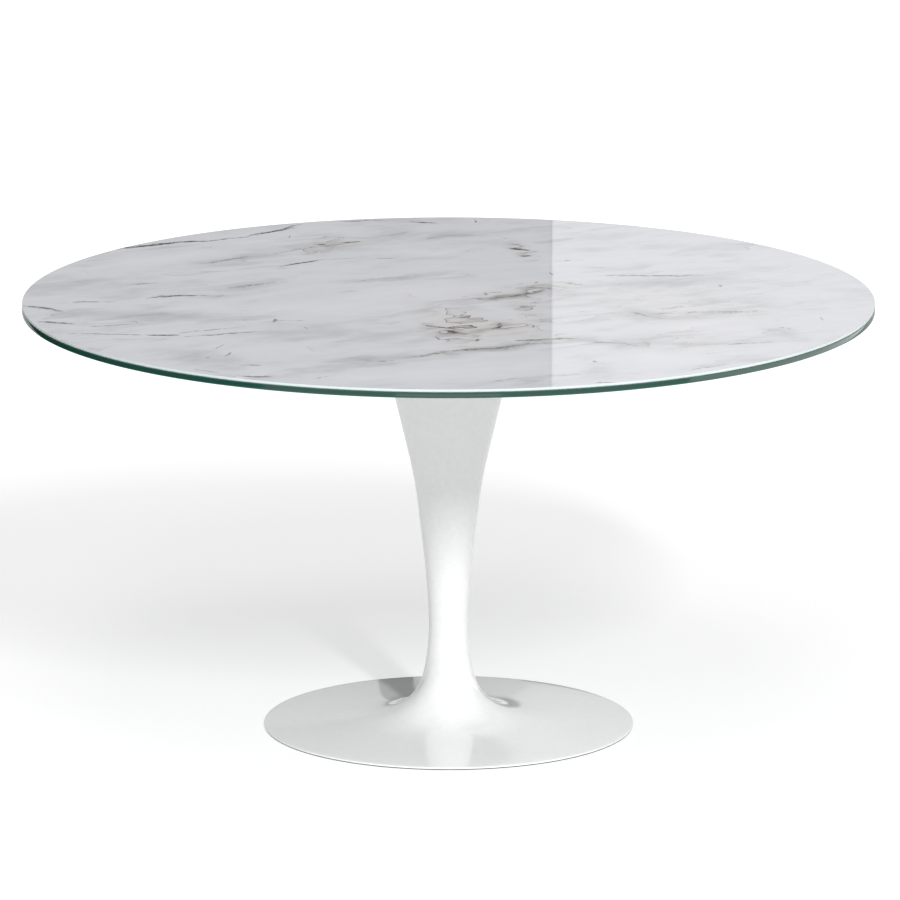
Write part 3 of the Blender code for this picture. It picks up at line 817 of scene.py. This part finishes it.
@dataclass
class TableTop:
    """Ceramic slab, bonding film and glass plate, one on another."""

    glass: Extent = measured("glass_plate")
    slab_arris: float = 0.0004
    film_ease: float = 0.0001
    glass_arris: float = 0.0008

    def build(self) -> None:
        """Makes the plates: the slab is marble on its level top only, and the glass green at its edge."""
        strokes = [tuple(Streak(*row) for row in rows) for rows in (MARBLE_BANDS, MARBLE_VEINS, MARBLE_NETS)]
        marble = MarbleCeramic("polished_marble_ceramic", "marble_ceramic", *strokes)
        slab = add_disc("ceramic_slab", ROUND_TOP, self.slab_arris, 4, marble, CERAMIC_BODY)
        for polygon in slab.polygons:
            polygon.material_index = 0 if polygon.normal.z > LEVEL_FACE else 1
        add_disc("bonding_film", ROUND_TOP, self.film_ease, 2, MILKY_FILM)
        edge = GlassEdge("polished_green_glass_edge", "green_glass", self.glass.low, self.glass.high)
        plate = add_disc("glass_plate", ROUND_TOP, self.glass_arris, 6, edge, GLASS_FACE)
        for polygon in plate.polygons:
            polygon.material_index = 1 if abs(polygon.normal.z) > LEVEL_FACE else 0


@dataclass
class BossFixings:
    """The bonded bosses under the glass, each with its isolator, washer and screw."""

    screw_radius: float = 0.0030
    bore_gap: float = 0.0003
    bore_chamfer: float = 0.0006
    hole_radius: float = 0.0035
    isolator_ease: float = 0.0005
    bite: float = 0.0045
    clearance: float = 0.0005
    head_height: float = 0.0033
    socket_flats: float = 0.0040
    socket_depth: float = 0.00165
    pitch: float = 0.0010

    def build(self) -> None:
        """Makes the fixings at every place."""
        for number in BOSSES:
            self.make_boss(f"glass_boss_{number}")
            isolator = f"boss_isolator_{number}"
            add_ring(isolator, ROUND_SMALL, self.hole_radius, self.isolator_ease, MOULDED_RUBBER)
            self.make_washer(f"plate_washer_{number}")
            self.make_screw(f"boss_screw_{number}")

    def make_boss(self, name: str) -> None:
        """Makes one boss, with its blind tapped hole.

        Args:
            name: The boss's name.
        """
        boss = Extent.of(name)
        bore = self.screw_radius + self.bore_gap
        hole_top = boss.low + self.bite + self.clearance
        corners = [
            (0.0, hole_top),
            (bore, hole_top, 0.0002),
            (bore, boss.low + self.bore_chamfer),
            (bore + self.bore_chamfer, boss.low),
            (boss.radius, boss.low, 0.0009, 6),
            (boss.radius, boss.high, 0.0005),
            (0.0, boss.high),
        ]
        steel = replace(TURNED_STAINLESS, centre=tuple(boss.axis))
        add_piece(name, turned_shape(corners, ROUND_BOSS), steel)

    def make_washer(self, name: str) -> None:
        """Makes one washer, its lower edges rounded by stamping.

        Args:
            name: The washer's name.
        """
        ring = Extent.of(name)
        corners = [
            (self.hole_radius, ring.low, 0.0003),
            (ring.radius, ring.low, 0.0005),
            (ring.radius, ring.high, 0.0001, 2),
            (self.hole_radius, ring.high, 0.0001, 2),
        ]
        add_piece(name, turned_shape(corners, ROUND_SMALL), ZINC_PLATE)

    def make_screw(self, name: str) -> None:
        """Makes one button-head screw with a hexagon socket and a threaded shank.

        Args:
            name: The screw's name.
        """
        screw = Extent.of(name)
        socket, floor = self.socket_flats / 2, screw.low + self.socket_depth
        head_top = screw.low + self.head_height
        corners = [
            (0.0, floor + 0.0004),
            (socket * SOCKET_CONE, floor),
            (socket, floor),
            (socket, screw.low + 0.0002),
            (socket + 0.0002, screw.low),
            (screw.radius, screw.low, 0.0012, 8),
            (screw.radius, head_top, 0.0002),
            (self.screw_radius, head_top, 0.0002),
            *threaded_corners(self.screw_radius, head_top + 0.0010, screw.high - 0.0006, self.pitch),
            (self.screw_radius - 0.0006, screw.high),
            (0.0, screw.high),
        ]
        shape = turned_shape(corners, ROUND_SMALL)
        hexagonal(shape, self.socket_flats, screw.low, floor, inside=True)
        add_piece(name, shape, ZINC_PLATE)


@dataclass
class TopPlate:
    """The steel plate that carries the bosses, and the four screws that hold it to the head collar."""

    plate: Extent = measured("top_plate")
    rim_inset: float = 0.003
    rim_ease: float = 0.0012
    hole_ease: float = 0.0004
    access_radius: float = 0.020
    boss_hole: float = 0.0035
    shank_hole: float = 0.0045
    sink_radius: float = 0.0080
    shank: float = 0.0040
    socket_flats: float = 0.0050
    socket_depth: float = 0.0019
    pitch: float = 0.00125

    def build(self) -> None:
        """Makes the plate and its screws."""
        self.make_plate()
        for number in HEAD_SCREWS:
            self.make_screw(f"head_screw_{number}")

    def make_plate(self) -> None:
        """Makes the plate from its upright walls, then fills its two faces between them."""
        radius, low, high, ease = self.plate.radius, self.plate.low, self.plate.high, self.hole_ease
        rim = [
            (radius - self.rim_inset, low),
            (radius, low, self.rim_ease, 6),
            (radius, high, self.rim_ease, 6),
            (radius - self.rim_inset, high),
        ]
        sink = [
            (self.shank_hole + ease, low),
            (self.shank_hole, low + ease),
            (self.shank_hole, high - (self.sink_radius - self.shank_hole)),
            (self.sink_radius, high),
        ]
        walls = [(AXIS, rim, ROUND_PLATE), (AXIS, self.hole_wall(self.access_radius), ROUND_BOSS)]
        for number in BOSSES:
            place = Extent.of(f"glass_boss_{number}").axis
            walls.append((place, self.hole_wall(self.boss_hole), ROUND_SMALL))
        for number in HEAD_SCREWS:
            walls.append((Extent.of(f"head_screw_{number}").axis, sink, ROUND_SMALL))
        shape = spun_walls(walls)
        fill_level(shape, low)
        fill_level(shape, high)
        add_piece("top_plate", shape, GLOSS_LACQUER)

    def hole_wall(self, radius: float) -> Profile:
        """A drilled hole's wall with both ends broken."""
        low, high, ease = self.plate.low, self.plate.high, self.hole_ease
        return [(radius + ease, low), (radius, low + ease), (radius, high - ease), (radius + ease, high)]

    def make_screw(self, name: str) -> None:
        """Makes one countersunk screw with a hexagon socket.

        Args:
            name: The screw's name.
        """
        screw, shank = Extent.of(name), self.shank
        cone = screw.high - (screw.radius - shank)
        socket, floor = self.socket_flats / 2, screw.high - self.socket_depth
        corners = [
            (0.0, screw.low),
            (shank - 0.0008, screw.low),
            *threaded_corners(shank, screw.low + 0.0008, cone - 0.0006, self.pitch),
            (shank, cone),
            (screw.radius, screw.high - 0.0002, 0.0001, 2),
            (screw.radius - 0.0003, screw.high),
            (socket + 0.0003, screw.high),
            (socket, screw.high - 0.0003),
            (socket, floor),
            (socket * SOCKET_CONE, floor),
            (0.0, floor - 0.0004),
        ]
        shape = turned_shape(corners, ROUND_SMALL)
        hexagonal(shape, self.socket_flats, floor, screw.high, inside=True)
        add_piece(name, shape, ZINC_PLATE)


@dataclass
class Core:
    """The tube inside the pedestal, its head collar, and the tie rod with its nuts and washers."""

    tube: Extent = measured("core_tube")
    collar: Extent = measured("head_collar")
    rod: Extent = measured("tie_rod")
    tapped_screw: Extent = measured("head_screw_1")
    tube_wall: float = 0.0032
    rod_hole: float = 0.0085
    cut_ease: float = 0.0004
    collar_radius: float = 0.050
    collar_thickness: float = 0.018
    collar_chamfer: float = 0.0010
    spigot_gap: float = 0.0005
    recess_radius: float = 0.019
    recess_depth: float = 0.012
    recess_chamfer: float = 0.0005
    tap_radius: float = 0.0043
    tap_chamfer: float = 0.0003
    tap_spare: float = 0.0005
    nut_flats: float = 0.024
    nut_bore_gap: float = 0.0003
    nut_bore_chamfer: float = 0.0008
    nut_face: float = 0.96
    nut_cone_rings: int = 5
    nut_slope: float = math.tan(math.radians(30))
    spacer_gap: float = 0.0003
    spacer_ease: float = 0.0010
    thread_length: float = 0.045
    rod_point: float = 0.0012
    pitch: float = 0.0020

    def build(self) -> None:
        """Makes every piece of the core."""
        add_ring("core_tube", ROUND_BOSS, self.tube.radius - self.tube_wall, self.cut_ease, STEEL_PRIMER)
        self.make_collar()
        self.make_rod()
        for end in ("lower", "upper"):
            add_ring(f"{end}_tie_washer", ROUND_SMALL, self.rod_hole, self.cut_ease, ZINC_PLATE)
            self.make_nut(f"{end}_tie_nut")
        add_ring("waist_spacer", ROUND_BOSS, self.tube.radius + self.spacer_gap, self.spacer_ease, WAXY_NYLON)

    def make_collar(self) -> None:
        """Makes the collar from its walls, with the four tapped holes open at its top face."""
        top, bottom, foot = self.collar.high, self.collar.high - self.collar_thickness, self.collar.low
        spigot = self.tube.radius - self.tube_wall - self.spigot_gap
        floor, tap_low = top - self.recess_depth, self.tapped_screw.low - self.tap_spare
        body = [
            (self.recess_radius + self.recess_chamfer, top),
            (self.recess_radius, top - self.recess_chamfer),
            (self.recess_radius, floor, 0.0005),
            (self.rod_hole, floor, self.cut_ease),
            (self.rod_hole, foot, self.cut_ease),
            (spigot, foot, 0.0010),
            (spigot, bottom, 0.0003),
            (self.collar_radius, bottom, 0.0010),
            (self.collar_radius, top - self.collar_chamfer),
            (self.collar_radius - self.collar_chamfer, top),
        ]
        tapped = [
            (self.tap_radius + self.tap_chamfer, top),
            (self.tap_radius, top - self.tap_chamfer),
            (self.tap_radius, tap_low),
            (0.0, tap_low),
        ]
        walls = [(AXIS, body, ROUND_BOSS)]
        for number in HEAD_SCREWS:
            walls.append((Extent.of(f"head_screw_{number}").axis, tapped, ROUND_SMALL))
        shape = spun_walls(walls)
        fill_level(shape, top)
        add_piece("head_collar", shape, STEEL_PRIMER)

    def make_rod(self) -> None:
        """Makes the rod, threaded at both ends."""
        radius, low, high, point = self.rod.radius, self.rod.low, self.rod.high, self.rod_point
        corners = [
            (0.0, low),
            (radius - point, low),
            *threaded_corners(radius, low + point, low + self.thread_length, self.pitch),
            *threaded_corners(radius, high - self.thread_length, high - point, self.pitch),
            (radius - point, high),
            (0.0, high),
        ]
        add_piece("tie_rod", turned_shape(corners, ROUND_SMALL), ZINC_PLATE)

    def make_nut(self, name: str) -> None:
        """Makes a nut: a turned blank with coned ends, then six flats cut into it.

        Args:
            name: The nut's name.
        """
        nut, chamfer = Extent.of(name), self.nut_bore_chamfer
        bore, face = self.rod.radius + self.nut_bore_gap, self.nut_flats / 2 * self.nut_face
        reach, rings = self.nut_flats / math.sqrt(3) - face, self.nut_cone_rings
        cone = [reach * step / rings for step in range(rings + 1)]
        corners = [(bore, nut.low + chamfer), (bore + chamfer, nut.low)]
        corners += [(face + out, nut.low + out * self.nut_slope) for out in cone]
        corners += [(face + out, nut.high - out * self.nut_slope) for out in reversed(cone)]
        corners += [(bore + chamfer, nut.high), (bore, nut.high - chamfer)]
        shape = turned_shape(corners, ROUND_SMALL)
        hexagonal(shape, self.nut_flats, nut.low, nut.high, inside=False)
        add_piece(name, shape, ZINC_PLATE)


@dataclass
class Pedestal:
    """The trumpet shell with its mouth gasket and floor seal, and the ballast casting under its skirt."""

    shell: Extent = measured("pedestal_shell")
    gasket: Extent = measured("mouth_gasket")
    seal: Extent = measured("rim_seal")
    ballast: Extent = measured("ballast_casting")
    tube: Extent = measured("core_tube")
    wall: float = 0.0020
    nest_gap: float = 0.0010
    rim_top: float = 0.0045
    rim_round: float = 0.0015
    wall_ease: float = 0.0004
    gasket_width: float = 0.0060
    gasket_ease: float = 0.0007
    seal_width: float = 0.0030
    steps: int = 10
    undercut_radius: float = 0.020
    undercut_top: float = 0.0142
    ledge_top: float = 0.0262
    rod_hole: float = 0.0085
    bore_gap: float = 0.0003

    def build(self) -> None:
        """Makes the shell, gasket, seal and ballast."""
        outline = self.outline()
        self.make_shell(outline)
        mouth, foot = self.gasket.radius - self.gasket_width, self.seal.radius - self.seal_width
        add_ring("mouth_gasket", ROUND_PLATE, mouth, self.gasket_ease, MOULDED_RUBBER)
        add_ring("rim_seal", ROUND_SHELL, foot, self.wall_ease, MOULDED_RUBBER)
        self.make_ballast(outline)

    def outline(self) -> list[Vector]:
        """The trumpet's outer line, from the top of its rim up to its mouth.

        Returns:
            Points whose x is the radius and whose y is the height.
        """
        # Places on the line, with their radius and height, and which way the line leans there.
        stations = [
            ((self.shell.radius - self.rim_round, self.rim_top), (-1.0, 0.08)),
            ((0.2000, 0.0125), (-1.0, 0.07)),
            ((0.0722, 0.0452), (-1.15, 1.0)),
            ((0.0450, 0.0923), (-0.25, 1.0)),
            ((0.0350, 0.1820), (0.0, 1.0)),
            ((0.0541, 0.3996), (0.115, 1.0)),
            ((0.0693, 0.4872), (0.234, 1.0)),
            ((self.gasket.radius, self.shell.high), (0.27, 1.0)),
        ]
        line = [Vector(stations[0][0])]
        for (before, leaning), (after, arriving) in zip(stations, stations[1:]):
            start, end = Vector(before), Vector(after)
            reach = (end - start).length / 3
            leave = start + Vector(leaning).normalized() * reach
            arrive = end - Vector(arriving).normalized() * reach
            line += interpolate_bezier(start, leave, arrive, end, self.steps + 1)[1:]
        return [Vector(point[:2]) for point in line]

    def moved_inwards(self, line: list[Vector], distance: float) -> list[Vector]:
        """Offsets a line that runs up the trumpet towards the trumpet's hollow.

        Args:
            line: The line.
            distance: How far it is moved.

        Returns:
            The moved line.
        """
        moved = []
        for place, point in enumerate(line):
            before, after = line[max(place - 1, 0)], line[min(place + 1, len(line) - 1)]
            along = (after - before).normalized()
            moved.append(Vector((point.x - along.y * distance, point.y + along.x * distance)))
        return moved

    def cut_line(self, line: list[Vector], axis: int, lowest: float, highest: float) -> list[Vector]:
        """Keeps the stretch of a line where one coordinate is between two values.

        Args:
            line: Points along which that coordinate only rises or only falls.
            axis: 0 for the radius and 1 for the height.
            lowest: The least value kept.
            highest: The greatest value kept.

        Returns:
            The stretch, with a point added at each cut.
        """
        kept = [line[0]] if lowest <= line[0][axis] <= highest else []
        for first, second in zip(line, line[1:]):
            least, most = sorted((first[axis], second[axis]))
            cuts = [value for value in (lowest, highest) if least < value < most]
            for value in sorted(cuts, key=lambda cut: abs(cut - first[axis])):
                kept.append(first.lerp(second, (value - first[axis]) / (second[axis] - first[axis])))
            if lowest <= second[axis] <= highest:
                kept.append(second)
        return kept

    def make_shell(self, outline: list[Vector]) -> None:
        """Makes the shell as one closed wall from its lip to its mouth.

        Args:
            outline: The trumpet's outer line.
        """
        rim, lip_inner, lip_low = self.shell.radius, self.shell.radius - self.wall, self.shell.low
        inner = self.moved_inwards(outline, self.wall)
        inner = self.cut_line(self.cut_line(inner, 0, 0.0, lip_inner), 1, lip_low, self.shell.high)
        corners = [
            (rim, lip_low, 0.0005),
            (rim, self.rim_top, self.rim_round * 0.98, 8),
            *outline[1:-1],
            (*outline[-1], self.wall_ease),
            (*inner[-1], self.wall_ease),
            *inner[-2::-1],
            (lip_inner, lip_low, self.wall_ease),
        ]
        add_piece("pedestal_shell", turned_shape(corners, ROUND_SHELL), GLOSS_LACQUER)

    def make_ballast(self, outline: list[Vector]) -> None:
        """Makes the casting, whose top follows the shell and whose foot holds the lower nut.

        Args:
            outline: The trumpet's outer line.
        """
        radius, low, high = self.ballast.radius, self.ballast.low, self.ballast.high
        nested = self.moved_inwards(outline, self.wall + self.nest_gap)
        upper = self.cut_line(self.cut_line(nested, 1, low, high), 0, 0.0, radius)
        bore = self.tube.radius + self.bore_gap
        corners = [
            (self.undercut_radius, low, 0.0010),
            (radius, low, 0.0020, 6),
            (*upper[0], 0.0015),
            *upper[1:-1],
            (*upper[-1], 0.0010),
            (bore, high, 0.0008),
            (bore, self.ledge_top, 0.0004),
            (self.rod_hole, self.ledge_top, 0.0004),
            (self.rod_hole, self.undercut_top, 0.0004),
            (self.undercut_radius, self.undercut_top, 0.0006),
        ]
        add_piece("ballast_casting", turned_shape(corners, ROUND_PLATE), SAND_CAST_IRON)


@dataclass
class FeltPads:
    """The felt discs that the ballast stands on."""

    ease: float = 0.0005

    def build(self) -> None:
        """Makes every pad."""
        for number in PADS:
            add_disc(f"felt_pad_{number}", ROUND_SMALL, self.ease, 4, PRESSED_FELT)


# Studio


def add_staged(shape: BMesh, material: Material) -> Object:
    """Adds a shape that belongs to the studio and not to the table.

    Args:
        shape: The bmesh, which is freed.
        material: Its material, whose name it takes.

    Returns:
        The object.
    """
    mesh = bpy.data.meshes.new(material.name)
    shape.to_mesh(mesh)
    shape.free()
    mesh.materials.append(material)
    item = bpy.data.objects.new(material.name, mesh)
    bpy.context.scene.collection.objects.link(item)
    return item


@dataclass(frozen=True)
class SoftBox:
    """A soft light that looks at the table from a bearing, counted from the front towards the right."""

    name: str
    bearing: float
    elevation: float
    distance: float
    width: float
    height: float
    power: float
    target: tuple[float, float, float] = (0.0, 0.0, 0.35)

    def build(self) -> None:
        """Adds the light, hidden from the lens and from mirrors."""
        light = bpy.data.lights.new(self.name, "AREA")
        light.shape = "RECTANGLE"
        light.size = self.width
        light.size_y = self.height
        light.energy = self.power
        box = bpy.data.objects.new(self.name, light)
        bpy.context.scene.collection.objects.link(box)
        bearing, elevation = math.radians(self.bearing), math.radians(self.elevation)
        level = math.cos(elevation)
        away = Vector((math.sin(bearing) * level, -math.cos(bearing) * level, math.sin(elevation)))
        box.location = Vector(self.target) + away * self.distance
        box.rotation_euler = (-away).to_track_quat("-Z", "Y").to_euler()
        box.visible_camera = False
        box.visible_glossy = False


@dataclass(frozen=True)
class MirrorCard:
    """An upright card that only polished surfaces see. One with no glow is a black flag."""

    name: str
    middle: tuple[float, float, float]
    width: float
    height: float
    glow: float
    turn: float = 0.0

    def build(self) -> None:
        """Adds the card, which faces along Y unless it is turned."""
        shape = bmesh.new()
        bmesh.ops.create_grid(shape, x_segments=1, y_segments=1, size=0.5)
        bmesh.ops.scale(shape, vec=(self.width, self.height, 1.0), verts=shape.verts[:])
        for angle, axis in ((math.pi / 2, "X"), (math.radians(self.turn), "Z")):
            turned = Matrix.Rotation(angle, 3, axis)
            bmesh.ops.rotate(shape, cent=AXIS, matrix=turned, verts=shape.verts[:])
        bmesh.ops.translate(shape, vec=self.middle, verts=shape.verts[:])
        material, tree, shader = new_material(self.name)
        dressing = {
            "Base Color": linear(BLACK),
            "Specular IOR Level": 0.0,
            "Emission Color": linear(WHITE),
            "Emission Strength": self.glow,
        }
        plug_in(tree, shader, dressing)
        card = add_staged(shape, material)
        card.visible_camera = False
        card.visible_diffuse = False
        card.visible_shadow = False


@dataclass
class Studio:
    """Pale floor, grey sky, soft boxes, mirror cards and the camera."""

    floor_radius: float = 120.0
    floor_colour: str = "#bcbcbc"
    near_glow: float = 0.53
    far_glow: float = 0.92
    cast_glow: float = 0.06
    glow_rises: tuple[float, float] = (1.6, 4.5)
    horizon: float = 0.12
    zenith: float = 0.70
    sky_rises: tuple[float, float] = (0.10, 0.75)
    behind: float = 0.20
    ahead: float = 1.60
    sensor: float = 36.0
    lens: float = 347.4
    sight: float = 500.0
    camera_place: tuple[float, float, float] = (0.0026, -14.97, 3.855)
    camera_tilt: float = 77.361
    boxes: tuple[SoftBox, ...] = (
        SoftBox("key_softbox", 17.0, 29.5, 25.0, 1.3, 4.4, 3700.0),
        SoftBox("side_softbox", 27.0, 37.0, 25.0, 4.0, 5.0, 450.0),
        SoftBox("front_softbox", -8.0, 35.0, 25.0, 4.0, 5.0, 600.0),
        SoftBox("top_softbox", 5.0, 68.0, 25.0, 11.0, 11.0, 1000.0),
    )
    cards: tuple[MirrorCard, ...] = (
        MirrorCard("white_panel", (3.127, 6.0, 2.6), 5.746, 3.8, 0.75),
        MirrorCard("low_panel", (-2.9, 6.0, 1.0), 6.3, 1.4, 0.50),
        MirrorCard("dim_panel", (-2.9, 6.0, 3.0), 6.3, 2.5, 0.26),
        MirrorCard("column_flag", (-0.105, 1.0, 0.10), 0.07, 0.19, 0.0),
        MirrorCard("right_strip", (2.5, 1.0, 0.41), 5.0, 0.60, 2.0, 90.0),
        MirrorCard("front_strip", (0.0, -2.2, 0.43), 0.9, 0.2, 1.9),
        MirrorCard("left_flag", (-2.5, 0.5, 0.36), 6.0, 0.72, 0.0, 90.0),
    )

    def build(self) -> None:
        """Sets up the whole studio."""
        self.make_floor()
        self.make_sky()
        for item in (*self.boxes, *self.cards):
            item.build()
        self.make_camera()

    def make_floor(self) -> None:
        """Makes a pale floor that glows a little, as a lit cove does, so that shadows stay light."""
        shape = bmesh.new()
        bmesh.ops.create_circle(shape, cap_ends=True, radius=self.floor_radius, segments=128)
        material, tree, shader = new_material("pale_floor")
        add = partial(add_node, tree)
        distance = add("VectorMath", (add("TexCoord", out="Object"),), "Value", operation="LENGTH")
        seen = add("LightPath", out="Is Camera Ray")
        far_glow = add("MapRange", (seen, 0.0, 1.0, self.cast_glow, self.far_glow))
        glow = add("MapRange", (distance, *self.glow_rises, self.near_glow, far_glow), **SOFTLY)
        dressing = {
            "Base Color": linear(self.floor_colour),
            "Roughness": 1.0,
            "Specular IOR Level": 0.0,
            "Emission Color": linear(WHITE),
            "Emission Strength": glow,
        }
        plug_in(tree, shader, dressing)
        add_staged(shape, material)

    def make_sky(self) -> None:
        """Makes a grey sky, brighter overhead and behind the lens, that the lens itself sees as white."""
        world = bpy.data.worlds.new("studio_sky")
        bpy.context.scene.world = world
        world.use_nodes = True
        tree = world.node_tree
        add = partial(add_node, tree)
        height = add("SeparateXYZ", (add("TexCoord", out="Generated"),), "Z")
        depth = height.node.outputs["Y"]
        sky = add("MapRange", (height, *self.sky_rises, self.horizon, self.zenith))
        sky = add("Math", (sky, add("MapRange", (depth, 1.0, -1.0, self.behind, self.ahead))), **TIMES)
        strength = add("MapRange", (add("LightPath", out="Is Camera Ray"), 0.0, 1.0, sky, 1.0))
        plug_in(tree, tree.nodes["Background"], {"Color": linear(WHITE), "Strength": strength})

    def make_camera(self) -> None:
        """Makes the camera and the view transform."""
        lens = bpy.data.cameras.new("camera")
        lens.sensor_width = self.sensor
        lens.lens = self.lens
        lens.clip_end = self.sight
        camera = bpy.data.objects.new("camera", lens)
        bpy.context.scene.collection.objects.link(camera)
        camera.location = self.camera_place
        camera.rotation_euler = (math.radians(self.camera_tilt), 0.0, 0.0)
        bpy.context.scene.camera = camera
        bpy.context.scene.view_settings.view_transform = "Standard"
        bpy.context.scene.view_settings.look = "None"


def main() -> None:
    """Builds the table and the studio round it."""
    logging.basicConfig(level=logging.INFO, format="%(name)s: %(message)s")
    for assembly in (TableTop(), BossFixings(), TopPlate(), Core(), Pedestal(), FeltPads(), Studio()):
        assembly.build()
        LOG.info("%s is built", type(assembly).__name__)


if __name__ == "__main__":
    main()
